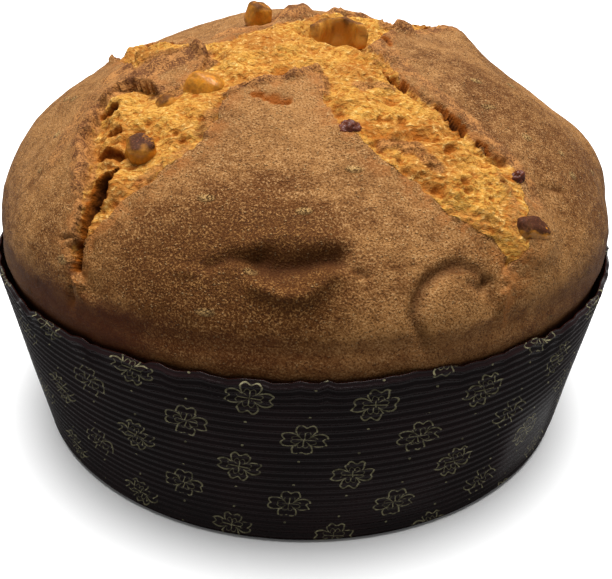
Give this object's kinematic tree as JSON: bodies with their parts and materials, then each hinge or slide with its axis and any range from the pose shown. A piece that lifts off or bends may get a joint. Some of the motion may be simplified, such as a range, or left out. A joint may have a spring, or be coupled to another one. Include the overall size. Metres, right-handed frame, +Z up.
{
  "type": "panettone",
  "caption": "Low domed sweet loaf with a cross-cut open top and candied peel, baked in a ribbed paper mould that holds its lower half.",
  "frame": {"origin": "centre of the paper mould's underside, on the surface that it stands on", "axes": "+Z up through the middle of the loaf, -Y to the loaf's front, +X to the right of a person who faces the front"},
  "size_m": [0.22, 0.22, 0.1402],
  "materials": {
    "crust": "matt baked crust, brown to golden, with an open yellow crumb where the top has torn",
    "paper": "dark brown ribbed baking paper with a thin olive-gold floral print",
    "candied_peel": "sticky, translucent amber candied orange peel, browned at its edges",
    "raisin": "dark red-brown wrinkled raisin"
  },
  "bodies": {
    "root": {"loaf": "crust", "paper_wall": "paper", "paper_base": "paper", "candied_orange_1": "candied_peel", "candied_orange_2": "candied_peel", "candied_orange_3": "candied_peel", "candied_orange_4": "candied_peel", "candied_orange_5": "candied_peel", "candied_orange_6": "candied_peel", "candied_orange_7": "candied_peel", "raisin_1": "raisin", "raisin_2": "raisin", "raisin_3": "raisin", "raisin_4": "raisin"}
  },
  "joints": []
}
